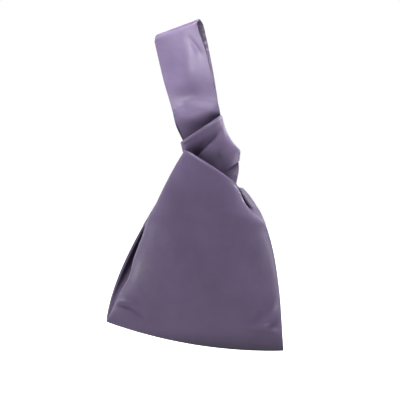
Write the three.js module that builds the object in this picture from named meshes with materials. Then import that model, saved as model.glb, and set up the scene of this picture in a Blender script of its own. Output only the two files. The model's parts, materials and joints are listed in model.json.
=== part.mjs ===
import * as THREE from "three";

// Sizes are in millimetres and angles in degrees.

// Thicknesses, and the clearance between separate pieces.
const LEATHER = 1.6;
const LINING = 0.9;
const CLEARANCE = 0.4;

// Body, with its bottom seam level: x along the seam from its middle, y to the back, z up from its corners.
const BASE_WIDTH = 224;
const SEAM_BOW = 10.2;
const PEAK_HEIGHT = 225;
const PEAK_OFFSET = 50;
const ROLL_LENGTH = 77;
const ROLL_FALL = 24.3;
const BACK_PEAK_DROP = 11;
const BACK_ROLL_LENGTH = 81;
const BACK_ROLL_FALL = 15;
const FRONT_BULGE = 18;
const BACK_BULGE = 17;
const PEAK_DEPTH = 15;
const SHOULDER_DEPTH = 18;
const FULLEST_AT = 0.6;
const NECK_FULLNESS = 0.7;
const ROLL_RADIUS = 3.6;
const TUCK = 16;
const GUSSET_FOLD = 13;

// Neck, handle and knot, in the long strap's frame: w across the strap, y to the back, h along the strap.
const NECK_LEAN = 22.3;
const NECK_HALF_WIDTH = 24.3;
const NECK_RISE = 3.1;
const NECK_TAPER = 3;
const NECK_ROOT = 5;
const STRAP_WIDTH = 60;
const FOLD_HEIGHT = 50;
const HANDLE_LENGTH = 105.8;
const HANDLE_FALL = 7.4;
const LOOP_DEPTH = 24;
const BACK_RUN_SHIFT = 4.5;
const HANDLE_SWAY = 16;
const FOOT_DRAW = 2.5;
const TOP_DRAW = 3;
const KNOT_DEPTH = 30;
const KNOT_RIM = 3;
const KNOT_TOP = 24.5;
const KNOT_TOP_SLOPE = 0.34;
const KNOT_NARROW = 31.8;
const KNOT_FLARE = 12.8;
const FLARE_HEIGHT = 46;
const KNOT_LIP = 4;
const KNOT_LAP = 1.1;
const SLIT_DROP = 35;
const SLIT_START = 14;
const SLIT_RISE = 6;
const LEG_DROP = 56;
const LEG_FOOT = 26;
const LEG_INNER = 9;
const LEG_SINK = 1.4;

// How the bag hangs: the tilt of its bottom seam, and where across the handle it is held.
const HANG_TILT = 9.33;
const HANG_ACROSS = 22;

// Shapes without a size: how boxy the pouch and the knot are, and how late the knot flares.
const POUCH_ROUND = 0.6;
const KNOT_ROUND = 0.77;
const FLARE_BEND = 2.6;
const SLIT_BEND = 1.3;

// Values that follow from the sizes.
const HALF_BASE = BASE_WIDTH / 2;
const SEAM_HALF = LEATHER / 2 + CLEARANCE;
const STRAP = LEATHER + LINING;
const STRAP_HALF = STRAP / 2;
const FOLD_RADIUS = LEATHER / 2 + CLEARANCE;
const LEG_DEPTH = 2 * CLEARANCE + STRAP + STRAP_HALF;
const LINING_OUT = -LEATHER / 2 - CLEARANCE;
const LINING_IN = LINING_OUT - LINING;

const rad = THREE.MathUtils.degToRad;
const lerp = THREE.MathUtils.lerp;
const ease = THREE.MathUtils.smoothstep;
const bump = (s) => Math.pow(Math.max(0, 4 * s * (1 - s)), POUCH_ROUND);
const vec = (x, y, z) => new THREE.Vector3(x, y, z);

function range(from, to, cells, shape = (k) => k) {
  return Array.from({ length: cells + 1 }, (_, i) => lerp(from, to, shape(i / cells)));
}

// Spacing that is closer at both ends, or at the start only.
const bothEnds = (k) => 0.5 - 0.5 * Math.cos(Math.PI * k);
const startOnly = (k) => Math.pow(k, 1.5);

function bezier(a, b, c, d, t) {
  const m = 1 - t;
  const at = (k) => m * m * m * a[k] + 3 * m * m * t * b[k] + 3 * m * t * t * c[k] + t * t * t * d[k];
  return [at(0), at(1)];
}

// A sheet as a closed solid: the surface place(u, v), thickened from one offset to the other along its normal.
// With loop set, the sheet joins up with itself along u.
function sheet(place, us, vs, from, to, loop = false) {
  const step = 1e-3;
  const columns = us.length;
  const rows = vs.length;
  const lowU = us[0];
  const highU = us[columns - 1];
  const points = [];
  const normalAt = (u, v) => {
    const u0 = loop ? u - step : Math.max(lowU, u - step);
    const u1 = loop ? u + step : Math.min(highU, u + step);
    const v0 = Math.max(vs[0], v - step);
    const v1 = Math.min(vs[rows - 1], v + step);
    const du = place(u1, v).sub(place(u0, v));
    const dv = place(u, v1).sub(place(u, v0));
    return du.cross(dv).normalize();
  };
  for (const offset of [from, to]) {
    for (const v of vs) {
      for (const u of us) {
        points.push(place(u, v).addScaledVector(normalAt(u, v), offset));
      }
    }
  }
  const layer = columns * rows;
  const id = (side, i, j) => side * layer + j * columns + (i % columns);
  const faces = [];
  const quad = (a, b, c, d) => faces.push(a, b, c, a, c, d);
  const spans = loop ? columns : columns - 1;
  for (let j = 0; j < rows - 1; j++) {
    for (let i = 0; i < spans; i++) {
      quad(id(1, i, j), id(1, i + 1, j), id(1, i + 1, j + 1), id(1, i, j + 1));
      quad(id(0, i, j), id(0, i, j + 1), id(0, i + 1, j + 1), id(0, i + 1, j));
    }
  }
  for (let i = 0; i < spans; i++) {
    quad(id(0, i, 0), id(0, i + 1, 0), id(1, i + 1, 0), id(1, i, 0));
    quad(id(0, i + 1, rows - 1), id(0, i, rows - 1), id(1, i, rows - 1), id(1, i + 1, rows - 1));
  }
  for (let j = 0; j < rows - 1 && !loop; j++) {
    quad(id(0, 0, j + 1), id(0, 0, j), id(1, 0, j), id(1, 0, j + 1));
    quad(id(0, spans, j), id(0, spans, j + 1), id(1, spans, j + 1), id(1, spans, j));
  }
  const geometry = new THREE.BufferGeometry();
  geometry.setFromPoints(points);
  geometry.setIndex(faces);
  geometry.computeVertexNormals();
  return geometry;
}

// The outline of one panel: its side edges as curves from the base corners, and the line its top rolls over.
function outline(sign, peak, shoulder, leftBend, rightBend, bulge) {
  const bend = ([x, z]) => [x * HALF_BASE, z * PEAK_HEIGHT];
  const leftBends = leftBend.map(bend);
  const rightBends = rightBend.map(bend);
  return {
    sign,
    peak,
    shoulder,
    bulge,
    left: (t) => bezier([-HALF_BASE, 0], ...leftBends, peak, t),
    right: (t) => bezier([HALF_BASE, 0], ...rightBends, shoulder, t),
  };
}

const away = (start, length, fall) => [
  start[0] + length * Math.cos(rad(fall)),
  start[1] - length * Math.sin(rad(fall)),
];
const frontPeak = [-PEAK_OFFSET, PEAK_HEIGHT];
const backPeak = [-PEAK_OFFSET, PEAK_HEIGHT - BACK_PEAK_DROP];
const front = outline(
  -1,
  frontPeak,
  away(frontPeak, ROLL_LENGTH, ROLL_FALL),
  [[-0.82, 0.27], [-0.735, 0.69]],
  [[0.84, 0.305], [0.79, 0.6]],
  FRONT_BULGE,
);
const back = outline(
  1,
  backPeak,
  away(backPeak, BACK_ROLL_LENGTH, BACK_ROLL_FALL),
  [[-1.016, 0.27], [-0.77, 0.575]],
  [[0.895, 0.19], [0.76, 0.7]],
  BACK_BULGE,
);

// Distance of a panel's side fold from the middle plane, growing from the seam to the neck.
function foldDepth(s, t) {
  const top = lerp(PEAK_DEPTH, SHOULDER_DEPTH, s);
  return lerp(SEAM_HALF, top, 1 - (1 - t) * (1 - t));
}

function panelDepth(side, s, t) {
  const rise = Math.min(t / FULLEST_AT, 1);
  const round = Math.sqrt(1 - (1 - rise) * (1 - rise));
  const fullness = round * lerp(1, NECK_FULLNESS, ease(t, FULLEST_AT, 1));
  return foldDepth(s, t) + side.bulge * fullness * bump(s);
}

const rollRadius = (s) => ROLL_RADIUS * (0.5 + 0.5 * bump(s));
const tuckDepth = (side, s) => panelDepth(side, s, 1) - 2 * rollRadius(s);

// A point of a panel: t to 1 is the face, to 2 the rolled top edge, to 3 the part tucked down behind it.
function panelPoint(side, s, t) {
  const k = Math.min(t, 1);
  const l = side.left(k);
  const r = side.right(k);
  const xz = [0, 1].map((c) => {
    const bottom = c === 0 ? lerp(-HALF_BASE, HALF_BASE, s) : -SEAM_BOW * 4 * s * (1 - s);
    const corner = c === 0 ? lerp(-HALF_BASE, HALF_BASE, s) : 0;
    const between = lerp(l[c], r[c], s);
    return between + (1 - k) * (bottom - corner);
  });
  const point = vec(xz[0], side.sign * panelDepth(side, s, k), xz[1]);
  if (t <= 1) {
    return point;
  }
  const along = vec(side.shoulder[0] - side.peak[0], 0, side.shoulder[1] - side.peak[1]).normalize();
  const up = vec(-along.z, 0, along.x);
  const inward = vec(0, -side.sign, 0);
  const turn = Math.PI * Math.min(t - 1, 1);
  const radius = rollRadius(s);
  const tuck = TUCK * (0.3 + 0.7 * bump(s)) * Math.max(t - 2, 0);
  return point
    .addScaledVector(inward, radius * (1 - Math.cos(turn)))
    .addScaledVector(up, radius * Math.sin(turn) - tuck);
}

// A side strip between the front and back folds, creased inward along its middle.
function gussetPoint(edge, q, t) {
  const s = edge === "left" ? 0 : 1;
  const inward = edge === "left" ? 1 : -1;
  const f = front[edge](t);
  const b = back[edge](t);
  const from = vec(f[0], -foldDepth(s, t), f[1]);
  const to = vec(b[0], foldDepth(s, t), b[1]);
  const share = (LEATHER / 2 + CLEARANCE) / from.distanceTo(to);
  const k = lerp(share, 1 - share, q);
  const crease = GUSSET_FOLD * Math.sqrt(4 * t * (1 - t)) * (1 - Math.abs(2 * k - 1));
  return from.lerp(to, k).add(vec(inward * crease, 0, 0));
}

// Neck frame in the body frame.
const lean = rad(NECK_LEAN);
const across = [Math.cos(lean), Math.sin(lean)];
const neckOrigin = [
  frontPeak[0] + NECK_HALF_WIDTH * across[0] + NECK_RISE * across[1],
  frontPeak[1] + NECK_HALF_WIDTH * across[1] - NECK_RISE * across[0],
];
const toBody = (w, h) => [
  neckOrigin[0] + w * across[0] - h * across[1],
  neckOrigin[1] + w * across[1] + h * across[0],
];
function toNeck([x, z]) {
  const dx = x - neckOrigin[0];
  const dz = z - neckOrigin[1];
  return [dx * across[0] + dz * across[1], dz * across[0] - dx * across[1]];
}

// The line a panel's top rolls over, as the neck frame sees it.
function rollLine(side) {
  const a = toNeck(side.peak);
  const b = toNeck(side.shoulder);
  const run = [b[0] - a[0], b[1] - a[1]];
  const foot = (w, h) => ((w - a[0]) * run[0] + (h - a[1]) * run[1]) / (run[0] * run[0] + run[1] * run[1]);
  return {
    share: (w, h) => THREE.MathUtils.clamp(foot(w, h), 0, 1),
    height: (w) => a[1] + ((w - a[0]) * run[1]) / run[0],
  };
}
const rolls = new Map([
  [front, rollLine(front)],
  [back, rollLine(back)],
]);

// Half of the long strap below the handle: it drops through the knot and turns out to the panel's tucked edge.
const NECK_TOP = FOLD_HEIGHT - FOLD_RADIUS - LEATHER / 2 - CLEARANCE;
function neckPoint(side, u, v) {
  const roll = rolls.get(side);
  const mouth = STRAP_WIDTH / 2 - NECK_TAPER;
  const left = -lerp(NECK_HALF_WIDTH - NECK_TAPER, mouth, ease(v, 0.55, 1));
  const right = lerp(lerp(NECK_ROOT, NECK_HALF_WIDTH, ease(v, 0.25, 0.6)), mouth, ease(v, 0.75, 1));
  const w = lerp(left, right, u);
  const bottom = roll.height(w) - TUCK - CLEARANCE - STRAP_HALF;
  const outer = tuckDepth(side, roll.share(w, bottom)) - LEATHER / 2 - CLEARANCE - STRAP_HALF;
  const inner = CLEARANCE + STRAP_HALF;
  return vec(w, side.sign * lerp(outer, inner, ease(v, 0, 0.25)), lerp(bottom, NECK_TOP, v));
}

// One leg of the short strap: it leaves the right shoulder and rises into the knot's right end.
function legPoint(side, u, v) {
  const widest = KNOT_NARROW + KNOT_FLARE;
  const bends = [[0.9 * widest, -0.54 * LEG_DROP], [0.95 * widest, -0.27 * LEG_DROP]];
  const right = bezier([LEG_FOOT, -LEG_DROP], ...bends, [0.75 * widest, -0.11 * LEG_DROP], v);
  const w = lerp(LEG_INNER, right[0], u);
  const outer = tuckDepth(side, rolls.get(side).share(w, right[1])) - LEATHER / 2 - LEG_SINK - STRAP_HALF;
  return vec(w, side.sign * lerp(outer, LEG_DEPTH, ease(v, 0.12, 0.42)), right[1]);
}

// The short loop where it wraps round the long strap: a flattened tube with a sloping rim, wider at its right end.
const KNOT_LEFT = -(NECK_HALF_WIDTH + KNOT_LAP);
function knotPoint(turn, v) {
  const angle = 2 * Math.PI * turn;
  const c = Math.cos(angle);
  const n = Math.sin(angle);
  const flat = (k) => Math.sign(k) * Math.pow(Math.abs(k), KNOT_ROUND);
  const nominal = lerp(KNOT_LEFT, KNOT_NARROW + KNOT_FLARE / 2, 0.5 + 0.5 * flat(c));
  const top = KNOT_TOP + KNOT_TOP_SLOPE * nominal;
  const facing = 0.5 + 0.5 * flat(n);
  const lower = lerp(rolls.get(front).height(nominal), rolls.get(back).height(nominal), facing) - KNOT_LIP;
  const outward = Math.max(nominal / SLIT_START - 1, 0);
  const raised = SLIT_RISE * Math.pow(outward, SLIT_BEND) - SLIT_DROP;
  const bottom = Math.max(lower, raised);
  const h = lerp(bottom, top, v);
  const drop = THREE.MathUtils.clamp((KNOT_TOP + KNOT_TOP_SLOPE * KNOT_NARROW - h) / FLARE_HEIGHT, 0, 1);
  const right = KNOT_NARROW - STRAP_HALF + KNOT_FLARE * Math.pow(drop, FLARE_BEND);
  const w = lerp(KNOT_LEFT, right, 0.5 + 0.5 * flat(c));
  return vec(w, (KNOT_DEPTH / 2 + KNOT_RIM * ease(v, 0.2, 1)) * flat(n), h);
}

// The handle loop, leaning back: path 0 to 1 is up the front, to 2 over the top, to 3 down the back, to 4 its foot.
function handlePoint(path, u) {
  const k = ((path % 4) + 4) % 4;
  const onBack = k >= 2;
  const climb = k <= 1 ? k : k <= 2 ? 1 : Math.max(3 - k, 0);
  const shift = k <= 1 || k >= 3 ? 0 : BACK_RUN_SHIFT * (onBack ? climb * (2 - climb) : ease(k, 1, 2));
  const drawn = k > 1 && k < 2 ? TOP_DRAW * Math.sin(Math.PI * (k - 1)) : 0;
  const left = FOOT_DRAW * (1 - climb) + drawn - STRAP_WIDTH / 2;
  const w = lerp(left, STRAP_WIDTH / 2 - drawn, u);
  const top = FOLD_HEIGHT + HANDLE_LENGTH + w * Math.tan(rad(HANDLE_FALL));
  const radius = LOOP_DEPTH / 2;
  const open = lerp(FOLD_RADIUS, radius, ease(climb, 0, 1));
  const sway = HANDLE_SWAY * ease(climb, 0, 1);
  if (k > 3) {
    const angle = Math.PI * (k - 3);
    return vec(w, FOLD_RADIUS * Math.cos(angle), FOLD_HEIGHT - FOLD_RADIUS * Math.sin(angle));
  }
  if (k > 1 && k < 2) {
    const angle = Math.PI * (k - 1);
    return vec(w + shift, sway - radius * Math.cos(angle), top - radius + radius * Math.sin(angle));
  }
  return vec(w + shift, sway + (onBack ? open : -open), lerp(FOLD_HEIGHT, top - radius, climb));
}

// Leather and lining.
const leather = new THREE.MeshStandardMaterial({ color: 0x75658a, roughness: 0.45, metalness: 0 });
const cloth = new THREE.MeshStandardMaterial({ color: 0x8f8599, roughness: 0.85, metalness: 0 });

const body = new THREE.Group();
const neck = new THREE.Group();
neck.position.set(neckOrigin[0], 0, neckOrigin[1]);
neck.rotation.y = -lean;
body.add(neck);

function piece(parent, name, geometry, material) {
  const mesh = new THREE.Mesh(geometry, material);
  mesh.name = name;
  parent.add(mesh);
}

const HALF = LEATHER / 2;
const acrossPanel = range(0, 1, 16, bothEnds);
const upFace = range(0, 1, 14, startOnly);
const upPanel = [...upFace, ...range(1, 2, 5).slice(1), ...range(2, 3, 2).slice(1)];
const acrossLining = acrossPanel.slice(3, -3);
const upLining = upFace.slice(3, -1);
for (const [side, label] of [[front, "front"], [back, "back"]]) {
  const flip = side === front ? 1 : -1;
  const place = (s, t) => panelPoint(side, s, t);
  const strapSheet = (point, us, vs) => sheet((u, v) => point(side, u, v), us, vs, -STRAP_HALF, STRAP_HALF);
  const ordered = (list) => (flip > 0 ? list : [...list].reverse());
  piece(body, `outer_${label}_panel`, sheet(place, ordered(acrossPanel), upPanel, -HALF, HALF), leather);
  piece(body, `${label}_lining`, sheet(place, ordered(acrossLining), upLining, LINING_IN, LINING_OUT), cloth);
  piece(neck, `neck_${label}_strap`, strapSheet(neckPoint, range(0, 1, 6), range(0, 1, 16)), leather);
  piece(neck, `short_strap_${label}_leg`, strapSheet(legPoint, range(0, 1, 4), range(0, 1, 14)), leather);
}

for (const edge of ["left", "right"]) {
  const place = (q, t) => gussetPoint(edge, q, t);
  piece(body, `${edge}_gusset`, sheet(place, range(0, 1, 4), range(0.1, 0.92, 14), -HALF, HALF), leather);
}

const aroundKnot = range(0, 1, 40).slice(0, -1);
const knotRing = (from, to) => sheet(knotPoint, aroundKnot, range(0, 1, 5), from, to, true);
piece(neck, "knot_band_outer", knotRing(-HALF, HALF), leather);
piece(neck, "knot_band_lining", knotRing(LINING_IN, LINING_OUT), cloth);

const aroundHandle = [...range(0, 1, 12), ...range(1, 2, 8).slice(1), ...range(2, 3, 12).slice(1), 3.25, 3.5, 3.75];
const insideHandle = [...range(0.4, 1, 8), ...range(1, 2, 8).slice(1), ...range(2, 2.6, 8).slice(1)];
piece(neck, "handle_outer", sheet(handlePoint, aroundHandle, range(0, 1, 6), -HALF, HALF, true), leather);
const handleInner = sheet(handlePoint, insideHandle, range(0.02, 0.98, 6), -LINING_OUT, -LINING_IN);
piece(neck, "handle_lining", handleInner, cloth);

// The whole hangs from the inside of the handle's top, which is the origin.
const foldTop = FOLD_HEIGHT + HANDLE_LENGTH + HANG_ACROSS * Math.tan(rad(HANDLE_FALL));
const held = toBody(HANG_ACROSS, foldTop + LINING_IN);
const tilt = rad(HANG_TILT);
body.rotation.y = tilt;
body.position.set(
  -(held[0] * Math.cos(tilt) + held[1] * Math.sin(tilt)),
  -HANDLE_SWAY,
  held[0] * Math.sin(tilt) - held[1] * Math.cos(tilt),
);

const bag = new THREE.Group();
bag.add(body);
export default bag;
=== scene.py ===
"""Looks of a hanging leather knot bag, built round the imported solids."""

import json
import math

import bpy
import numpy as np
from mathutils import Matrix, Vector


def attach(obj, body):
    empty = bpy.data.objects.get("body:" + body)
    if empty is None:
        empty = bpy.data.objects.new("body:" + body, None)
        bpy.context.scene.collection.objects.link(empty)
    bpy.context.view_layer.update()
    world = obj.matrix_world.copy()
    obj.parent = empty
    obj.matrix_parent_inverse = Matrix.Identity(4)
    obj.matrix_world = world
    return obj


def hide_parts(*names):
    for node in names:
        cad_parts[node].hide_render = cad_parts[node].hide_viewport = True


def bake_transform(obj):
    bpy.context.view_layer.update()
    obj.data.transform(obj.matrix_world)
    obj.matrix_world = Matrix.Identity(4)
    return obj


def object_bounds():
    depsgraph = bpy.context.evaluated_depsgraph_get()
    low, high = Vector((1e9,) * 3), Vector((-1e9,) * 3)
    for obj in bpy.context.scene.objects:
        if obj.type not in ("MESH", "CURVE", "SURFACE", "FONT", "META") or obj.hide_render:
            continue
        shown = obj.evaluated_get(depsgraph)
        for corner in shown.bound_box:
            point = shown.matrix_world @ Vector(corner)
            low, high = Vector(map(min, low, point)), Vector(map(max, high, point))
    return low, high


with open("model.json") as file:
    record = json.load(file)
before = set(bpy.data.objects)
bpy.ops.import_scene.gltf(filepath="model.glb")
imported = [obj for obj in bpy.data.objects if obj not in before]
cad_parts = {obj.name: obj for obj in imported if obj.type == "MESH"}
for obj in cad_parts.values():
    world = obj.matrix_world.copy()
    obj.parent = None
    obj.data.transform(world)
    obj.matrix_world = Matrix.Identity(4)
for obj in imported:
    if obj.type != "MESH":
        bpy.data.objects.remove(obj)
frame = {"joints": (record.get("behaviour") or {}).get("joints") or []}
cad_low, cad_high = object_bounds()

MM = 0.001

# Lengths below are in millimetres and angles in degrees; a pair says where a change begins and ends.

# Thickness of the sheets and the room between them
LEATHER = 1.6
LINING = 0.9
CLEARANCE = 0.4
STRAP = LEATHER + LINING
STRAP_EXTRA = 0.4
KNOT_EXTRA = 0.6
STRAP_LINING_GAP = 0.25
KNOT_LINING_GAP = 0.3

# Pouch; the seam's share is under half a thickness, so the panels meet along the base
BASE_WIDTH = 224
HALF_BASE = BASE_WIDTH / 2
SEAM_BOW = 10.2
SEAM_SHARE = 0.45
SEAM_HALF = SEAM_SHARE * LEATHER
PEAK_HEIGHT = 225
PEAK_OFFSET = 50
ROLL_LENGTH = 77
ROLL_FALL = 24.3
BACK_PEAK_DROP = 11
BACK_ROLL_LENGTH = 81
BACK_ROLL_FALL = 15
FRONT_BULGE = 18
BACK_BULGE = 17
POUCH_ROUND = 0.6
PEAK_DEPTH = 15
SHOULDER_DEPTH = 18
FULLEST_AT = 0.6
NECK_FULLNESS = 0.7
ROLL_RADIUS = 3.6
ROLL_AT_ENDS = 0.5
TUCK = 16
TUCK_AT_ENDS = 0.3
SHOULDER_DROP = 4.5
SHOULDER_DROP_ACROSS = (0.75, 1)
SHOULDER_DROP_UP = (0.8, 1)
CREASES_LEAVE_EDGE = (0, 0.06)
CREASES_END = (0.9, 1)

# Side folds, at shares of their height and width
STRIP_INSET = 0.2
GUSSET_FOLD = 13
LEFT_FOLD = 24
LEFT_FOLD_STARTS = (0.1, 0.42)
LEFT_FOLD_ENDS = (0.75, 0.95)
LEFT_HOLLOW = 6.5
LEFT_HOLLOW_AT = 0.88
LEFT_HOLLOW_REACH = 0.09
LEFT_HOLLOW_ENDS = (0.94, 1)
RIGHT_FOLD = 9
LIP_STARTS = (0.81, 0.88)
LIP_ENDS = (0.985, 1)
BELOW_LIP_STARTS = (0.7, 0.77)
BELOW_LIP_ENDS = (0.79, 0.85)
SHOULDER_LIP = 10
SHOULDER_LIP_AT = 0.82
SHOULDER_LIP_REACH = 0.15
SHOULDER_LIP_ENDS = (0.86, 1)

# Long strap, at heights above the neck's base and shares of its width and climb
NECK_LEAN = 22.3
NECK_HALF_WIDTH = 24.3
NECK_RISE = 3.1
NECK_TAPER = 3
NECK_ROOT = 5
NECK_RIGHT_INSET = 1
NECK_RIGHT = NECK_HALF_WIDTH - NECK_RIGHT_INSET
STRAP_WIDTH = 60
HALF_STRAP = STRAP_WIDTH / 2
FOLD_HEIGHT = 50
HANDLE_LENGTH = 108
HANDLE_END = FOLD_HEIGHT + HANDLE_LENGTH
HANDLE_FALL = 7.4
LOOP_DEPTH = 24
BACK_RUN_SHIFT = 5.3
HANDLE_SWAY = 16
ROOT_GUESS = -20
ROOT_RISE = 18
LEFT_WIDENS = (14, FOLD_HEIGHT)
FOOT_DRAW = 2.5
FOOT_WIDENS = (FOLD_HEIGHT, 110)
RIGHT_LEAVES_ROOT = (-10, 16)
FRONT_RIGHT_WIDENS = (33, 47)
BACK_RIGHT_WIDENS = (22, 34)
CORNER_TUCK = 5
CORNER_TUCK_AT = 34
CORNER_TUCK_REACH = 5
MOUTH_SWELL = 5
MOUTH_HEIGHT = 43
MOUTH_REACH = 11
MOUTH_EDGE_LOSS = 0.6
STRAP_CREASES_START = (30, 45)
TURN_RISE = 8
TOP_DRAW = 3
RIGHT_DRAW_PART = 3
EDGE_CURL = 3
EDGE_CURL_STARTS = (125, HANDLE_END)
EDGE_CURL_ENDS = (0.1, 0.5)
EDGE_TURN = 2
EDGE_TURN_ACROSS = (0.86, 1)
EDGE_TURN_UP = (0.1, 0.6)
EDGE_TURN_OVER = (0.5, 1)
CRUMPLE = 1.1
CRUMPLE_STEP = 9.5
CRUMPLE_ACROSS = (0.8, 0.94)
CRUMPLE_STARTS = (0.6, 0.75)
CRUMPLE_ENDS = (0.94, 1)

# Knot
KNOT_DEPTH = 30
KNOT_RIM = 3
KNOT_RIM_OPENS = (0.2, 1)
KNOT_TOP = 24.5
KNOT_TOP_SLOPE = 0.34
KNOT_NARROW = 31.8
KNOT_FLARE = 12.8
KNOT_ROUND = 0.77
FLARE_HEIGHT = 46
FLARE_BEND = 2.6
KNOT_LIP = 4
KNOT_END_LIP = 9
KNOT_END_LIP_FADES = (-24.5, -18)
KNOT_LAP = 1.1
KNOT_LEFT = -(NECK_HALF_WIDTH + KNOT_LAP)
KNOT_DRAW_IN = 0.35
KNOT_DRAW_BELOW = -11
SLIT_DROP = 35
SLIT_START = 14
SLIT_RISE = 6
SLIT_BEND = 1.3

# Folds of the knot's front: a hollow under the rim, a step below it and a valley below the step
STEP_SLOPE = 0.625
STEP_HEIGHT = -0.5
KNOT_FOLDS_START = (-25, -12)
KNOT_FOLDS_END = (14, 31)
KNOT_FOLDS_FACING = (0.1, 0.8)
HOLLOW = 7
HOLLOW_MIDDLE = 4
HOLLOW_MIDDLE_AT = -4
HOLLOW_MIDDLE_REACH = 14
HOLLOW_SINKS = (0.02, 0.84)
HOLLOW_RETURNS = (0.84, 1.02)
SUNK_BELOW_STEP = 2.8
VALLEY = 3
VALLEY_STARTS = (5, 20)
VALLEY_ENDS = (20, 32)
BEAD = 1.5
BEAD_BELOW_RIM = 2.2
BEAD_REACH = 1.9

# Legs of the short strap; the bends are shares of the knot's greatest width and of the legs' drop
LEG_DROP = 56
LEG_FOOT = 26
LEG_INNER = 9
LEG_SINK = 1.4
LEG_DEPTH = 2 * CLEARANCE + 1.5 * STRAP
LEG_BENDS = ((0.9, -0.54), (0.95, -0.27), (0.75, -0.11))
LEG_FULLNESS = 12
LEG_EDGE_LOSS = 0.6
LEG_EDGE_BEND = 2.5
LEG_FILLS = (0, 0.25)
LEG_NARROWS = (0.34, 0.64)

# How a ridge fades at its ends, at shares of its length
RIDGE_STARTS = (-0.2, 0.3)
RIDGE_ENDS = (0.7, 1.2)

# Creases: ridges have a start, end, width and height, and swells a centre, radii and height
FRONT_RIDGES = (
    # lower left corner
    ((-106, 24.5), (-83, 24), 3, -2.2),
    ((-86, 25), (-64, 14), 4, -1.6),
    ((-104, 31), (-78, 30), 4.5, 1.5),
    # lower right corner
    ((86, 30), (103, 38), 4, -1.8),
    ((66, 42), (84, 66), 8, -1.2),
    ((68, 24), (100, 58), 5.5, 3.0),
    ((50, 27), (107, 22), 4, 2.2),
    # under the rolled edge
    ((-47, 220), (-34, 206), 3.5, -2.2),
    ((-38, 217), (-16, 206), 3, 0.9),
)
FRONT_SWELLS = (
    ((-45, 80), (38, 60), 1.2),
    ((40, 70), (40, 50), -1.4),
)
BACK_RIDGES = (
    ((-104, 28), (-72, 20), 3.5, -1.2),
    ((70, 22), (98, 34), 3.5, -1.2),
)
BACK_SWELLS = (
    ((30, 90), (45, 60), 1.3),
    ((-50, 70), (35, 50), -1.2),
)
STRAP_RIDGES = (
    # wrinkle near the top
    ((12, 144), (23, 117), 3.5, -1.1),
    ((8, 154), (15, 132), 6, 0.5),
    # crown along the middle, and the hollow left of it
    ((13, 135), (3, 88), 9, 1.3),
    ((-14, 140), (-18, 92), 9, -0.6),
    # lip above the knot
    ((-8, 61), (27, 45), 7, 1.3),
)
STRAP_SWELLS = (
    # fullness of the middle
    ((4, 112), (17, 40), 1.0),
    # dents above the knot
    ((-2, 70), (19, 12), -3.6),
    ((20, 82), (9, 16), -0.5),
    # lower right corner
    ((22, 47), (9, 7), 1.5),
    # turned left edge
    ((-31, 108), (12, 40), -2.2),
)
CORNER_DENT = ((27, 36), (8, 7), -3)


def lerp(a, b, k):
    return a + (b - a) * k


def ease(k, low, high):
    """A smooth step from 0 to 1."""
    k = np.clip((k - low) / (high - low), 0, 1)
    return k * k * (3 - 2 * k)


def window(k, rise, fall):
    """A smooth step up, and down again."""
    return ease(k, *rise) * (1 - ease(k, *fall))


def hump(k, place, reach):
    """1 at the place, fading on both sides of it."""
    return np.exp(-(((k - place) / reach) ** 2))


def bump(s):
    return np.maximum(0, 4 * s * (1 - s)) ** POUCH_ROUND


def bezier(a, b, c, d, t):
    m = 1 - t
    return [
        m**3 * a[k] + 3 * m * m * t * b[k] + 3 * m * t * t * c[k] + t**3 * d[k]
        for k in (0, 1)
    ]


def ridge(a, b, start, end, width, height):
    """A soft ridge along a line, fading at both ends; a negative height makes a groove."""
    run = np.subtract(end, start)
    length = np.linalg.norm(run)
    along = ((a - start[0]) * run[0] + (b - start[1]) * run[1]) / length**2
    off = ((a - start[0]) * run[1] - (b - start[1]) * run[0]) / length
    return height * window(along, RIDGE_STARTS, RIDGE_ENDS) * hump(off, 0, width)


def swell(a, b, centre, radii, height):
    """A soft round rise or, with a negative height, a dent."""
    square = ((a - centre[0]) / radii[0]) ** 2 + ((b - centre[1]) / radii[1]) ** 2
    return height * np.exp(-square)


def creases(a, b, ridges, swells):
    """How far ridges and swells together move a sheet outward."""
    lines = sum(ridge(a, b, *values) for values in ridges)
    return lines + sum(swell(a, b, *values) for values in swells)


# The long strap's frame comes from the joints; the body's frame leans from it.
joints = {j["name"]: j for j in frame["joints"]}
strap_up = np.array(joints["knot_slide"]["axis"], float)
strap_across = np.array(joints["handle_fold"]["axis"], float)
to_back = np.array([0.0, 1.0, 0.0])
fold_point = np.array(joints["handle_fold"]["pos_m"], float)
neck_base = fold_point - strap_up * FOLD_HEIGHT * MM
lean = math.radians(NECK_LEAN)
neck_in_body = (
    -PEAK_OFFSET + NECK_HALF_WIDTH * math.cos(lean) + NECK_RISE * math.sin(lean),
    PEAK_HEIGHT + NECK_HALF_WIDTH * math.sin(lean) - NECK_RISE * math.cos(lean),
)


def from_neck(w, y, h):
    """Points of the strap's frame in the shared frame, in metres."""
    w, y, h = np.broadcast_arrays(w, y, h)
    offset = w[..., None] * strap_across + y[..., None] * to_back + h[..., None] * strap_up
    return neck_base + offset * MM


def to_neck(x, z):
    dx = x - neck_in_body[0]
    dz = z - neck_in_body[1]
    return (
        dx * math.cos(lean) + dz * math.sin(lean),
        dz * math.cos(lean) - dx * math.sin(lean),
    )


def from_body(x, y, z):
    w, h = to_neck(x, z)
    return from_neck(w, y, h)


def waved(waves, t):
    """How far an edge is pushed sideways at each of its places."""
    return sum(shift * hump(t, place, reach) for place, reach, shift in waves)


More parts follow.
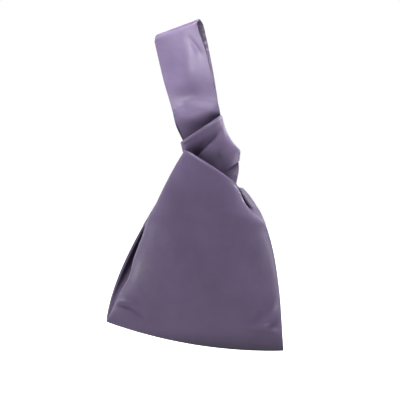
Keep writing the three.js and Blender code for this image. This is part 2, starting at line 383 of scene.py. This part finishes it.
class Panel:
    """Outline of the front or back: two side curves, and the line that its top rolls over.

    Bends are shares of half the base and of the peak's height.
    Waves have a place and reach along the edge and a sideways shift.
    """

    def __init__(
        self,
        sign,
        peak,
        roll_length,
        roll_fall,
        left_bends,
        right_bends,
        left_waves,
        right_waves,
        bulge,
        shoulder_drop,
        ridges,
        swells,
    ):
        fall = math.radians(roll_fall)
        self.sign = sign
        self.peak = peak
        self.shoulder = (
            peak[0] + roll_length * math.cos(fall),
            peak[1] - roll_length * math.sin(fall),
        )
        self.left_bends = [(x * HALF_BASE, z * PEAK_HEIGHT) for x, z in left_bends]
        self.right_bends = [(x * HALF_BASE, z * PEAK_HEIGHT) for x, z in right_bends]
        self.left_waves = left_waves
        self.right_waves = right_waves
        self.bulge = bulge
        self.shoulder_drop = shoulder_drop
        self.ridges = ridges
        self.swells = swells
        self.roll_start = np.array(to_neck(*self.peak))
        self.roll_run = np.array(to_neck(*self.shoulder)) - self.roll_start

    def left(self, t):
        x, z = bezier((-HALF_BASE, 0), *self.left_bends, self.peak, t)
        return x + waved(self.left_waves, t), z

    def right(self, t):
        x, z = bezier((HALF_BASE, 0), *self.right_bends, self.shoulder, t)
        return x + waved(self.right_waves, t), z

    def roll_height(self, w):
        slope = self.roll_run[1] / self.roll_run[0]
        return self.roll_start[1] + (w - self.roll_start[0]) * slope

    def roll_share(self, w, h):
        dw = w - self.roll_start[0]
        dh = h - self.roll_start[1]
        foot = (dw * self.roll_run[0] + dh * self.roll_run[1]) / (self.roll_run @ self.roll_run)
        return np.clip(foot, 0, 1)


front = Panel(
    sign=-1,
    peak=(-PEAK_OFFSET, PEAK_HEIGHT),
    roll_length=ROLL_LENGTH,
    roll_fall=ROLL_FALL,
    left_bends=((-0.82, 0.27), (-0.722, 0.69)),
    right_bends=((0.84, 0.305), (0.79, 0.6)),
    left_waves=((0.6, 0.05, -2.2), (0.29, 0.08, 3.4)),
    right_waves=((0.885, 0.075, -6.5), (0.76, 0.035, 5.5)),
    bulge=FRONT_BULGE,
    shoulder_drop=0,
    ridges=FRONT_RIDGES,
    swells=FRONT_SWELLS,
)
back = Panel(
    sign=1,
    peak=(-PEAK_OFFSET, PEAK_HEIGHT - BACK_PEAK_DROP),
    roll_length=BACK_ROLL_LENGTH,
    roll_fall=BACK_ROLL_FALL,
    left_bends=((-1.016, 0.27), (-0.77, 0.575)),
    right_bends=((0.895, 0.19), (0.76, 0.7)),
    left_waves=(),
    right_waves=(),
    bulge=BACK_BULGE,
    shoulder_drop=SHOULDER_DROP,
    ridges=BACK_RIDGES,
    swells=BACK_SWELLS,
)


def fold_depth(s, t):
    """Distance of a panel's side edge from the middle plane."""
    top = lerp(PEAK_DEPTH, SHOULDER_DEPTH, s)
    return lerp(SEAM_HALF, top, 1 - (1 - t) ** 2)


def panel_depth(side, s, t):
    """Distance of a panel's face from the middle plane."""
    rise = np.minimum(t / FULLEST_AT, 1)
    fullness = np.sqrt(1 - (1 - rise) ** 2) * lerp(1, NECK_FULLNESS, ease(t, FULLEST_AT, 1))
    return fold_depth(s, t) + side.bulge * fullness * bump(s)


def roll_radius(s):
    return ROLL_RADIUS * lerp(ROLL_AT_ENDS, 1, bump(s))


def tuck_depth(side, s):
    return panel_depth(side, s, 1.0) - 2 * roll_radius(s)


def panel_points(side, s, t):
    """Points of a panel in the body frame.

    t up to 1 is its face, up to 2 its rolled edge, and up to 3 what is tucked behind.
    """
    k = np.minimum(t, 1)
    left = side.left(k)
    right = side.right(k)
    x = lerp(left[0], right[0], s)
    z = lerp(left[1], right[1], s) - (1 - k) * SEAM_BOW * 4 * s * (1 - s)
    away_from_sides = ease(s, *CREASES_LEAVE_EDGE) * ease(1 - s, *CREASES_LEAVE_EDGE)
    away_from_edges = away_from_sides * window(t, CREASES_LEAVE_EDGE, CREASES_END)
    depth = panel_depth(side, s, k) + creases(x, z, side.ridges, side.swells) * away_from_edges
    run = np.subtract(side.shoulder, side.peak)
    run = run / np.linalg.norm(run)
    turn = np.pi * np.clip(t - 1, 0, 1)
    radius = roll_radius(s)
    tucked = TUCK * lerp(TUCK_AT_ENDS, 1, bump(s)) * np.maximum(t - 2, 0)
    dropped = side.shoulder_drop * ease(s, *SHOULDER_DROP_ACROSS) * ease(t, *SHOULDER_DROP_UP)
    rise = radius * np.sin(turn) - tucked - dropped
    depth = depth - radius * (1 - np.cos(turn))
    return x - run[1] * rise, side.sign * depth, z + run[0] * rise


def gusset_points(edge, q, t):
    """Side strip between the front and back folds, creased inward along its middle."""
    s = 0 if edge == "left" else 1
    inward = 1 if edge == "left" else -1
    f = getattr(front, edge)(t)
    b = getattr(back, edge)(t)
    depth = fold_depth(s, t)
    start = np.stack([f[0], -depth, f[1]])
    end = np.stack([b[0], depth, b[1]])
    inset = STRIP_INSET / np.linalg.norm(end - start, axis=0)
    k = lerp(inset, 1 - inset, q)
    x, y, z = lerp(start, end, k)
    crease = GUSSET_FOLD * np.sqrt(4 * t * (1 - t))
    if edge == "left":
        deep = window(t, LEFT_FOLD_STARTS, LEFT_FOLD_ENDS)
        crease = crease + LEFT_FOLD * deep
        across = hump(q, LEFT_HOLLOW_AT, LEFT_HOLLOW_REACH) * (1 - ease(q, *LEFT_HOLLOW_ENDS))
        y = y + LEFT_HOLLOW * deep * across
    else:
        lip = window(t, LIP_STARTS, LIP_ENDS)
        below_lip = window(t, BELOW_LIP_STARTS, BELOW_LIP_ENDS)
        crease = crease + RIGHT_FOLD * lip - RIGHT_FOLD * below_lip
        across = hump(q, SHOULDER_LIP_AT, SHOULDER_LIP_REACH) * (1 - ease(q, *SHOULDER_LIP_ENDS))
        y = y - SHOULDER_LIP * lip * across
    return x + inward * crease * (1 - np.abs(2 * k - 1)), y, z


def strap_edges(h, on_back):
    """Left and right edge of a run; the front run's right corner is tucked in above the knot."""
    left = -lerp(NECK_HALF_WIDTH - NECK_TAPER, HALF_STRAP - FOOT_DRAW, ease(h, *LEFT_WIDENS))
    left = left - FOOT_DRAW * ease(h, *FOOT_WIDENS)
    right = lerp(NECK_ROOT, NECK_RIGHT, ease(h, *RIGHT_LEAVES_ROOT))
    widens = BACK_RIGHT_WIDENS if on_back else FRONT_RIGHT_WIDENS
    right = right + (HALF_STRAP - NECK_RIGHT) * ease(h, *widens)
    if not on_back:
        right = right - CORNER_TUCK * hump(h, CORNER_TUCK_AT, CORNER_TUCK_REACH)
    return left, right


def handle_top(w):
    return HANDLE_END + w * math.tan(math.radians(HANDLE_FALL))


def strap_run(side, u, g):
    """One run of the long strap, from its root on a panel's tucked edge up to the loop's top."""
    on_back = side is back
    guess = lerp(ROOT_GUESS, HANDLE_END, g)
    left, right = strap_edges(guess, on_back)
    if not on_back:
        right = right - EDGE_CURL * ease(guess, *EDGE_CURL_STARTS)
    w = lerp(left, right, u)
    bottom = side.roll_height(w) - TUCK - CLEARANCE - STRAP / 2
    h = lerp(bottom, handle_top(w) - TURN_RISE, g)
    climb = np.clip((h - FOLD_HEIGHT) / (handle_top(w) - TURN_RISE - FOLD_HEIGHT), 0, 1)
    opening = lerp(CLEARANCE + STRAP / 2, LOOP_DEPTH / 2, ease(climb, 0, 1))
    across = 1 - MOUTH_EDGE_LOSS * (w / HALF_STRAP) ** 2
    opening = opening + MOUTH_SWELL * across * hump(h, MOUTH_HEIGHT, MOUTH_REACH)
    if not on_back:
        folds = creases(w, h, STRAP_RIDGES, STRAP_SWELLS) * ease(h, *STRAP_CREASES_START)
        opening = opening + folds + swell(w, h, *CORNER_DENT)
    root = tuck_depth(side, side.roll_share(w, bottom)) - LEATHER / 2 - CLEARANCE - STRAP / 2
    depth = lerp(root, opening, ease(h, bottom, bottom + ROOT_RISE))
    shift = 0
    if on_back:
        shift = BACK_RUN_SHIFT * climb * (2 - climb)
        depth = depth + EDGE_TURN * ease(u, *EDGE_TURN_ACROSS) * ease(climb, *EDGE_TURN_UP)
        wave = np.sin(2 * np.pi * h / CRUMPLE_STEP) * window(climb, CRUMPLE_STARTS, CRUMPLE_ENDS)
        depth = depth + CRUMPLE * wave * ease(u, *CRUMPLE_ACROSS)
    return w + shift, HANDLE_SWAY * ease(climb, 0, 1) + side.sign * depth, h


def strap_turn(k, u):
    """The top of the loop, from the front run over to the back run."""
    angle = np.pi * k
    drawn = TOP_DRAW * np.sin(angle)
    curled = EDGE_CURL * (1 - ease(k, *EDGE_CURL_ENDS)) + drawn / RIGHT_DRAW_PART
    w = lerp(drawn - HALF_STRAP, HALF_STRAP - curled, u)
    h = handle_top(w) - TURN_RISE + TURN_RISE * np.sin(angle)
    turned = EDGE_TURN * ease(u, *EDGE_TURN_ACROSS) * ease(k, *EDGE_TURN_OVER)
    y = HANDLE_SWAY - LOOP_DEPTH / 2 * np.cos(angle) + turned
    return w + BACK_RUN_SHIFT * ease(k, 0, 1), y, h


def leg_points(side, u, v):
    """One leg of the short strap, from the right shoulder up into the knot's right end."""
    widest = KNOT_NARROW + KNOT_FLARE
    bends = [(x * widest, z * LEG_DROP) for x, z in LEG_BENDS]
    edge = bezier((LEG_FOOT, -LEG_DROP), *bends, v)
    w = lerp(LEG_INNER, edge[0], u)
    outer = tuck_depth(side, side.roll_share(w, edge[1])) - LEATHER / 2 - LEG_SINK - STRAP / 2
    middle = LEG_FULLNESS * (1 - LEG_EDGE_LOSS * u**LEG_EDGE_BEND)
    filled = lerp(outer, middle, ease(v, *LEG_FILLS))
    depth = lerp(filled, LEG_DEPTH, ease(v, *LEG_NARROWS))
    return w, side.sign * depth, edge[1]


def knot_creases(w, h):
    """How far folds move the knot's front outward."""
    rim = KNOT_TOP + KNOT_TOP_SLOPE * w
    step = STEP_SLOPE * w + STEP_HEIGHT
    below_rim = np.clip((rim - h) / (rim - step), 0, 1)
    fade = window(w, KNOT_FOLDS_START, KNOT_FOLDS_END)
    sunk = HOLLOW * fade + HOLLOW_MIDDLE * hump(w, HOLLOW_MIDDLE_AT, HOLLOW_MIDDLE_REACH)
    returned = (sunk - SUNK_BELOW_STEP * fade) * ease(below_rim, *HOLLOW_RETURNS)
    hollow = sunk * ease(below_rim, *HOLLOW_SINKS) - returned
    valley = VALLEY * fade * window(step - h, VALLEY_STARTS, VALLEY_ENDS)
    bead = BEAD * hump(rim - h, BEAD_BELOW_RIM, BEAD_REACH)
    return bead - hollow - valley


def knot_points(turn, v):
    """The short loop round the long strap: a flat tube, its rim sloping and its right end wider."""
    c = np.cos(2 * np.pi * turn)
    n = np.sin(2 * np.pi * turn)
    along = np.sign(c) * np.abs(c) ** KNOT_ROUND
    facing = np.sign(n) * np.abs(n) ** KNOT_ROUND
    rightward = 0.5 + 0.5 * along
    backward = 0.5 + 0.5 * facing
    nominal = lerp(KNOT_LEFT, KNOT_NARROW + KNOT_FLARE / 2, rightward)
    top = KNOT_TOP + KNOT_TOP_SLOPE * nominal
    lower = lerp(front.roll_height(nominal), back.roll_height(nominal), backward) - KNOT_LIP
    lower = lower - KNOT_END_LIP * (1 - ease(nominal, *KNOT_END_LIP_FADES))
    outward = np.maximum(nominal / SLIT_START - 1, 0)
    bottom = np.maximum(lower, SLIT_RISE * outward**SLIT_BEND - SLIT_DROP)
    h = lerp(bottom, top, v)
    drop = np.clip((KNOT_TOP + KNOT_TOP_SLOPE * KNOT_NARROW - h) / FLARE_HEIGHT, 0, 1)
    drawn_in = KNOT_DRAW_IN * np.maximum(KNOT_DRAW_BELOW - h, 0)
    right = KNOT_NARROW - STRAP / 2 + KNOT_FLARE * drop**FLARE_BEND - drawn_in
    w = lerp(KNOT_LEFT, right, rightward)
    y = (KNOT_DEPTH / 2 + KNOT_RIM * ease(v, *KNOT_RIM_OPENS)) * facing
    return w, y - knot_creases(w, h) * ease(-facing, *KNOT_FOLDS_FACING), h


def grid(us, vs):
    return np.meshgrid(np.asarray(us, float), np.asarray(vs, float), indexing="ij")


def both_ends(n):
    """Numbers from 0 to 1, closer together at both ends."""
    return 0.5 - 0.5 * np.cos(np.pi * np.linspace(0, 1, n))


def joined(*runs):
    """Runs of numbers in one, without the ends that they share."""
    return np.concatenate([runs[0]] + [r[1:] for r in runs[1:]])


def offset_sheet(points, distance):
    """The same sheet moved along its normals."""
    normal = np.cross(np.gradient(points, axis=0), np.gradient(points, axis=1))
    normal /= np.linalg.norm(normal, axis=2, keepdims=True) + 1e-12
    return points + normal * distance * MM


def cut_size(points, loop):
    """Width, length and area of a sheet laid flat, measured along its rows and columns."""
    if loop:
        points = np.concatenate([points, points[:1]])
    rows = np.linalg.norm(np.diff(points, axis=0), axis=2)
    columns = np.linalg.norm(np.diff(points, axis=1), axis=2)
    a = points[1:, 1:] - points[:-1, :-1]
    b = points[1:, :-1] - points[:-1, 1:]
    area = 0.5 * np.linalg.norm(np.cross(a, b), axis=2).sum()
    return rows.sum(axis=0).max(), columns.sum(axis=1).max(), area


def sheet_piece(name, points, thickness, slot, stands_for, loop=False):
    """A thick soft-edged sheet over a grid of points; the size it was cut to is measured but not used.
    """
    nu, nv = points.shape[:2]
    index = np.arange(nu * nv).reshape(nu, nv)
    rolled = np.roll(index, -1, axis=0)
    spans = nu if loop else nu - 1
    corners = [index[:spans, :-1], rolled[:spans, :-1], rolled[:spans, 1:], index[:spans, 1:]]
    faces = np.stack(corners, axis=-1).reshape(-1, 4)
    mesh = bpy.data.meshes.new(name)
    mesh.from_pydata(points.reshape(-1, 3).tolist(), [], faces.tolist())
    mesh.polygons.foreach_set("use_smooth", [True] * len(mesh.polygons))
    mesh.materials.append(MATERIALS[slot])
    piece = bpy.data.objects.new(name, mesh)
    bpy.context.scene.collection.objects.link(piece)
    solid = piece.modifiers.new("thickness", "SOLIDIFY")
    solid.thickness = thickness * MM
    solid.offset = 0
    soft = piece.modifiers.new("soft_edges", "SUBSURF")
    soft.levels = soft.render_levels = 1
    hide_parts(*stands_for)
    width, length, area = cut_size(points, loop)
    area = min(area, width * length)
    return piece


def new_material(name):
    """A new material, its main shader, and functions that add and link nodes."""
    material = bpy.data.materials.new(name)
    material.use_nodes = True
    tree = material.node_tree

    def add(kind, **values):
        made = tree.nodes.new(kind)
        for key, value in values.items():
            if key in made.inputs:
                made.inputs[key].default_value = value
            else:
                setattr(made, key, value)
        return made

    return material, tree.nodes["Principled BSDF"], add, tree.links.new


def ramp(add, low, high, colours):
    """A colour ramp between two places."""
    made = add("ShaderNodeValToRGB")
    for element, place, colour in zip(made.color_ramp.elements, (low, high), colours):
        element.position = place
        element.color = (*colour, 1)
    return made


def painted_shade_in_folds(add, link, colour):
    """The colour with painted shade: darkened where a surface is closed in by others, in folds,
    creases and under edges.
    """
    # Painted shade: ambient occlusion sets how much darker the colour gets.
    shelter = add("ShaderNodeAmbientOcclusion", samples=12, Distance=0.045)
    depth = add("ShaderNodeMapRange")
    depth.inputs["From Min"].default_value = 0.35
    depth.inputs["From Max"].default_value = 0.95
    depth.inputs["To Min"].default_value = 0.28
    link(shelter.outputs["AO"], depth.inputs["Value"])
    shade = add("ShaderNodeMix", data_type="RGBA", blend_type="MULTIPLY")
    shade.inputs["Factor"].default_value = 1
    link(colour, shade.inputs["A"])
    link(depth.outputs["Result"], shade.inputs["B"])
    return shade.outputs["Result"]


LEATHER_DARK = (0.123, 0.089, 0.172)
LEATHER_MAIN = (0.149, 0.109, 0.205)
LEATHER_WORN = (0.195, 0.154, 0.255)
LINING_DARK = (0.085, 0.07, 0.105)
LINING_PALE = (0.17, 0.145, 0.2)
BLACK = (0, 0, 0)
WHITE = (1, 1, 1)

# Relief of the leather, in metres
SLACK_RELIEF = 0.0009
PEBBLE_RELIEF = 0.00016
FINE_RELIEF = 0.00006


def leather_material():
    """Smooth purple nappa: soft mottling, fine pebbled grain, and paler worn edges."""
    material, shader, add, link = new_material("purple_nappa")
    place = add("ShaderNodeTexCoord").outputs["Object"]
    mottle = add("ShaderNodeTexNoise", Scale=22.0, Detail=4.0, Roughness=0.6)
    link(place, mottle.inputs["Vector"])
    tone = ramp(add, 0.3, 0.7, (LEATHER_DARK, LEATHER_MAIN))
    link(mottle.outputs["Fac"], tone.inputs["Fac"])
    edge = ramp(add, 0.52, 0.62, (BLACK, WHITE))
    link(add("ShaderNodeNewGeometry").outputs["Pointiness"], edge.inputs["Fac"])
    wear = add("ShaderNodeMix", data_type="RGBA")
    wear.inputs["B"].default_value = (*LEATHER_WORN, 1)
    link(edge.outputs["Color"], wear.inputs["Factor"])
    link(tone.outputs["Color"], wear.inputs["A"])
    # Painted shade: the leather's colour is darkened in folds, creases and where parts close in.
    link(painted_shade_in_folds(add, link, wear.outputs["Result"]), shader.inputs["Base Color"])
    pebble = add("ShaderNodeTexVoronoi", feature="DISTANCE_TO_EDGE", Scale=700.0)
    link(place, pebble.inputs["Vector"])
    fine = add("ShaderNodeTexNoise", Scale=900.0, Detail=3.0)
    link(place, fine.inputs["Vector"])
    slack = add("ShaderNodeTexNoise", Scale=70.0, Detail=2.0)
    link(place, slack.inputs["Vector"])
    gloss = add("ShaderNodeMapRange")
    gloss.inputs["To Min"].default_value = 0.36
    gloss.inputs["To Max"].default_value = 0.5
    link(mottle.outputs["Fac"], gloss.inputs["Value"])
    link(gloss.outputs["Result"], shader.inputs["Roughness"])
    reliefs = (
        (slack.outputs["Fac"], SLACK_RELIEF),
        (pebble.outputs["Distance"], PEBBLE_RELIEF),
        (fine.outputs["Fac"], FINE_RELIEF),
    )
    normal = None
    for height, reach in reliefs:
        relief = add("ShaderNodeBump", Strength=0.5, Distance=reach)
        link(height, relief.inputs["Height"])
        if normal:
            link(normal, relief.inputs["Normal"])
        normal = relief.outputs["Normal"]
    link(normal, shader.inputs["Normal"])
    shader.inputs["Specular IOR Level"].default_value = 0.42
    return material


def lining_material():
    """Matt woven cotton, its threads crossing at right angles."""
    material, shader, add, link = new_material("woven_lining")
    place = add("ShaderNodeTexCoord").outputs["Object"]
    warp = add("ShaderNodeTexWave", bands_direction="X", Scale=420.0, Distortion=0.6)
    weft = add("ShaderNodeTexWave", bands_direction="Z", Scale=420.0, Distortion=0.6)
    link(place, warp.inputs["Vector"])
    link(place, weft.inputs["Vector"])
    threads = add("ShaderNodeMix", data_type="RGBA", blend_type="MULTIPLY")
    threads.inputs["Factor"].default_value = 1
    link(warp.outputs["Color"], threads.inputs["A"])
    link(weft.outputs["Color"], threads.inputs["B"])
    tone = ramp(add, 0.0, 0.8, (LINING_DARK, LINING_PALE))
    link(threads.outputs["Result"], tone.inputs["Fac"])
    # Painted shade: the lining's colour is darkened in folds, hollows and where parts close in.
    link(painted_shade_in_folds(add, link, tone.outputs["Color"]), shader.inputs["Base Color"])
    relief = add("ShaderNodeBump", Strength=0.4, Distance=0.0002)
    link(threads.outputs["Result"], relief.inputs["Height"])
    link(relief.outputs["Normal"], shader.inputs["Normal"])
    shader.inputs["Roughness"].default_value = 0.9
    shader.inputs["Specular IOR Level"].default_value = 0.2
    return material


MATERIALS = {"leather": leather_material(), "lining": lining_material()}

# Grid points of the sheets, and where the linings lie on them: a share, or points left free
PANEL_COLUMNS = 110
FACE_ROWS = 100
FACE_CROWDING = 1.3
ROLL_ROWS = 15
TUCK_ROWS = 8
PANEL_LINING_POINTS = 34
PANEL_LINING_ACROSS = (0.08, 0.92)
PANEL_LINING_UP = (0.1, 0.97)
SIDE_FOLD_COLUMNS = 41
SIDE_FOLD_ROWS = 70
SIDE_FOLD_UP = (0.004, 0.995)
STRAP_COLUMNS = 41
STRAP_ROWS = 110
STRAP_TURN_ROWS = 21
STRAP_LINING_SIDES = 6
STRAP_LINING_ENDS = 66
LEG_COLUMNS = 24
LEG_ROWS = 44
KNOT_COLUMNS = 160
KNOT_ROWS = 44
KNOT_LINING_ENDS = 4
KNOT_OVERLAP = 2


def make_panels():
    face = np.linspace(0, 1, FACE_ROWS) ** FACE_CROWDING
    rows = joined(face, np.linspace(1, 2, ROLL_ROWS), np.linspace(2, 3, TUCK_ROWS))
    lining_columns = np.linspace(*PANEL_LINING_ACROSS, PANEL_LINING_POINTS)
    lining_rows = np.linspace(*PANEL_LINING_UP, PANEL_LINING_POINTS)
    for side, label in ((front, "front"), (back, "back")):
        s, t = grid(both_ends(PANEL_COLUMNS), rows)
        panel = sheet_piece(
            f"{label}_panel",
            from_body(*panel_points(side, s, t)),
            LEATHER,
            "leather",
            stands_for=[f"outer_{label}_panel"],
        )
        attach(panel, "bag")
        s, t = grid(lining_columns, lining_rows)
        inside = side.sign * (LEATHER / 2 + CLEARANCE + LINING / 2)
        inner = sheet_piece(
            f"{label}_inner_cloth",
            offset_sheet(from_body(*panel_points(side, s, t)), inside),
            LINING,
            "lining",
            stands_for=[f"{label}_lining"],
        )
        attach(inner, "bag")


def make_side_folds():
    rows = np.linspace(*SIDE_FOLD_UP, SIDE_FOLD_ROWS)
    for edge in ("left", "right"):
        q, t = grid(np.linspace(0, 1, SIDE_FOLD_COLUMNS), rows)
        strip = sheet_piece(
            f"{edge}_side_fold",
            from_body(*gusset_points(edge, q, t)),
            LEATHER,
            "leather",
            stands_for=[f"{edge}_gusset"],
        )
        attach(strip, "bag")


def follow_fold(piece):
    """Bakes the piece's placement into its mesh."""
    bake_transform(piece)


def make_long_strap():
    u, g = grid(both_ends(STRAP_COLUMNS), np.linspace(0, 1, STRAP_ROWS))
    up_front = from_neck(*strap_run(front, u, g))
    down_back = from_neck(*strap_run(back, u, g))[:, ::-1]
    u, k = grid(both_ends(STRAP_COLUMNS), np.linspace(0, 1, STRAP_TURN_ROWS))
    over = from_neck(*strap_turn(k, u))
    points = np.concatenate([up_front, over[:, 1:-1], down_back], axis=1)
    strap = sheet_piece(
        "long_strap",
        points,
        LEATHER + STRAP_EXTRA,
        "leather",
        stands_for=["handle_outer", "neck_front_strap", "neck_back_strap"],
    )
    follow_fold(strap)
    covered = points[STRAP_LINING_SIDES:-STRAP_LINING_SIDES, STRAP_LINING_ENDS:-STRAP_LINING_ENDS]
    lining = sheet_piece(
        "long_strap_lining",
        offset_sheet(covered, -(STRAP / 2 + STRAP_LINING_GAP)),
        LINING,
        "lining",
        stands_for=["handle_lining"],
    )
    follow_fold(lining)


def make_short_strap():
    for side, label in ((front, "front"), (back, "back")):
        u, v = grid(both_ends(LEG_COLUMNS), np.linspace(0, 1, LEG_ROWS))
        leg = sheet_piece(
            f"short_strap_{label}",
            from_neck(*leg_points(side, u, v)),
            STRAP,
            "leather",
            stands_for=[f"short_strap_{label}_leg"],
        )
        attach(leg, "bag")


def make_knot():
    turn, v = grid(np.linspace(0, 1, KNOT_COLUMNS + 1)[:-1], both_ends(KNOT_ROWS))
    points = from_neck(*knot_points(turn, v))
    band = sheet_piece(
        "knot_band",
        points,
        LEATHER + KNOT_EXTRA,
        "leather",
        stands_for=["knot_band_outer"],
        loop=True,
    )
    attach(band, "knot")
    # The ring overlaps itself while it is offset, so that its normals run on across the join.
    closed = np.concatenate([points[-KNOT_OVERLAP:], points, points[:KNOT_OVERLAP]])
    inside = offset_sheet(closed, -(STRAP / 2 + KNOT_LINING_GAP))
    lining = sheet_piece(
        "knot_inner_cloth",
        inside[KNOT_OVERLAP:-KNOT_OVERLAP, KNOT_LINING_ENDS:-KNOT_LINING_ENDS],
        LINING,
        "lining",
        stands_for=["knot_band_lining"],
        loop=True,
    )
    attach(lining, "knot")


# Stage, camera and lights, in metres, watts and degrees
FLOOR_HALF = 12
FLOOR_BELOW = 0.012
CAMERA_DISTANCE = 2.2
CAMERA_ASIDE = -0.005
CAMERA_UP = -0.0624
PICTURE_WIDTH = 0.5
SENSOR_WIDTH = 36

# Name, place, target, size and power of each light, and the spread of the narrow ones
LIGHTS = (
    ("handle_key", (0.05, -0.5, 0.16), (-0.02, 0.0, -0.05), 0.12, 0.091, 28),
    ("top", (0.0, -0.15, 0.6), (0.01, -0.02, -0.16), 0.4, 6.0),
    ("right_side", (0.9, -0.2, -0.25), (0.0, -0.02, -0.3), 0.5, 3.3),
    ("right_back", (0.7, 0.25, 0.1), (0.01, -0.02, -0.16), 0.4, 0.42),
    ("knot_rim", (0.7, 0.25, 0.1), (0.035, 0.0, -0.15), 0.1, 0.027, 18),
    ("left_rim", (-0.9, 0.15, -0.1), (0.0, -0.02, -0.22), 0.25, 1.6),
    ("low_left", (-0.8, -0.5, -0.38), (0.0, -0.02, -0.3), 0.12, 3.2),
    ("low_right", (0.8, -0.5, -0.38), (0.0, -0.02, -0.3), 0.12, 0.95),
    ("back", (-0.3, 0.9, 0.1), (0.0, 0.0, -0.25), 0.6, 3.5),
)


def area_light(name, place, target, size, power, spread=180):
    data = bpy.data.lights.new(name, "AREA")
    data.shape = "DISK"
    data.size = size
    data.energy = power
    data.spread = math.radians(spread)
    light = bpy.data.objects.new(name, data)
    light.location = place
    light.rotation_euler = (Vector(target) - Vector(place)).to_track_quat("-Z", "Y").to_euler()
    bpy.context.scene.collection.objects.link(light)


def make_floor():
    """A pale floor that the camera sees as white and that lights the bag less than it shows."""
    half = FLOOR_HALF
    z = cad_low[2] - FLOOR_BELOW
    corners = [(-half, -half, z), (half, -half, z), (half, half, z), (-half, half, z)]
    mesh = bpy.data.meshes.new("floor")
    mesh.from_pydata(corners, [], [(0, 1, 2, 3)])
    material, shader, add, link = new_material("pale_floor")
    shader.inputs["Base Color"].default_value = (0.85, 0.85, 0.85, 1)
    shader.inputs["Roughness"].default_value = 0.9
    shader.inputs["Specular IOR Level"].default_value = 0
    shader.inputs["Emission Color"].default_value = (*WHITE, 1)
    shader.inputs["Emission Strength"].default_value = 1.0
    dim = add("ShaderNodeEmission", Strength=0.65)
    seen = add("ShaderNodeMixShader")
    link(add("ShaderNodeLightPath").outputs["Is Camera Ray"], seen.inputs["Fac"])
    link(dim.outputs["Emission"], seen.inputs[1])
    link(shader.outputs["BSDF"], seen.inputs[2])
    link(seen.outputs["Shader"], material.node_tree.nodes["Material Output"].inputs["Surface"])
    mesh.materials.append(material)
    floor = bpy.data.objects.new("floor", mesh)
    bpy.context.scene.collection.objects.link(floor)


def make_world():
    """A studio that is white to the camera and lights the bag more from behind than from the front."""
    world = bpy.data.worlds.new("studio")
    world.use_nodes = True
    nodes = world.node_tree.nodes
    link = world.node_tree.links.new
    around = nodes["Background"]
    around.inputs["Color"].default_value = (*WHITE, 1)
    direction = nodes.new("ShaderNodeSeparateXYZ")
    link(nodes.new("ShaderNodeTexCoord").outputs["Generated"], direction.inputs["Vector"])
    strength = nodes.new("ShaderNodeMapRange")
    strength.interpolation_type = "SMOOTHSTEP"
    strength.inputs["From Min"].default_value = -0.95
    strength.inputs["From Max"].default_value = 0.15
    strength.inputs["To Min"].default_value = 0.0
    strength.inputs["To Max"].default_value = 0.9
    link(direction.outputs["Y"], strength.inputs["Value"])
    link(strength.outputs["Result"], around.inputs["Strength"])
    white = nodes.new("ShaderNodeBackground")
    white.inputs["Color"].default_value = (*WHITE, 1)
    seen = nodes.new("ShaderNodeMixShader")
    link(nodes.new("ShaderNodeLightPath").outputs["Is Camera Ray"], seen.inputs["Fac"])
    link(around.outputs["Background"], seen.inputs[1])
    link(white.outputs["Background"], seen.inputs[2])
    link(seen.outputs["Shader"], nodes["World Output"].inputs["Surface"])
    bpy.context.scene.world = world


def make_camera():
    """Straight on, with the picture half a metre wide at the bag."""
    data = bpy.data.cameras.new("camera")
    data.sensor_width = SENSOR_WIDTH
    data.lens = SENSOR_WIDTH * CAMERA_DISTANCE / PICTURE_WIDTH
    camera = bpy.data.objects.new("camera", data)
    camera.location = neck_base + np.array([CAMERA_ASIDE, -CAMERA_DISTANCE, CAMERA_UP])
    camera.rotation_euler = (math.pi / 2, 0, 0)
    bpy.context.scene.collection.objects.link(camera)
    bpy.context.scene.camera = camera


make_panels()
make_side_folds()
make_long_strap()
make_short_strap()
make_knot()
make_floor()
make_world()
make_camera()
for light in LIGHTS:
    area_light(*light)
bpy.context.scene.view_settings.view_transform = "Standard"
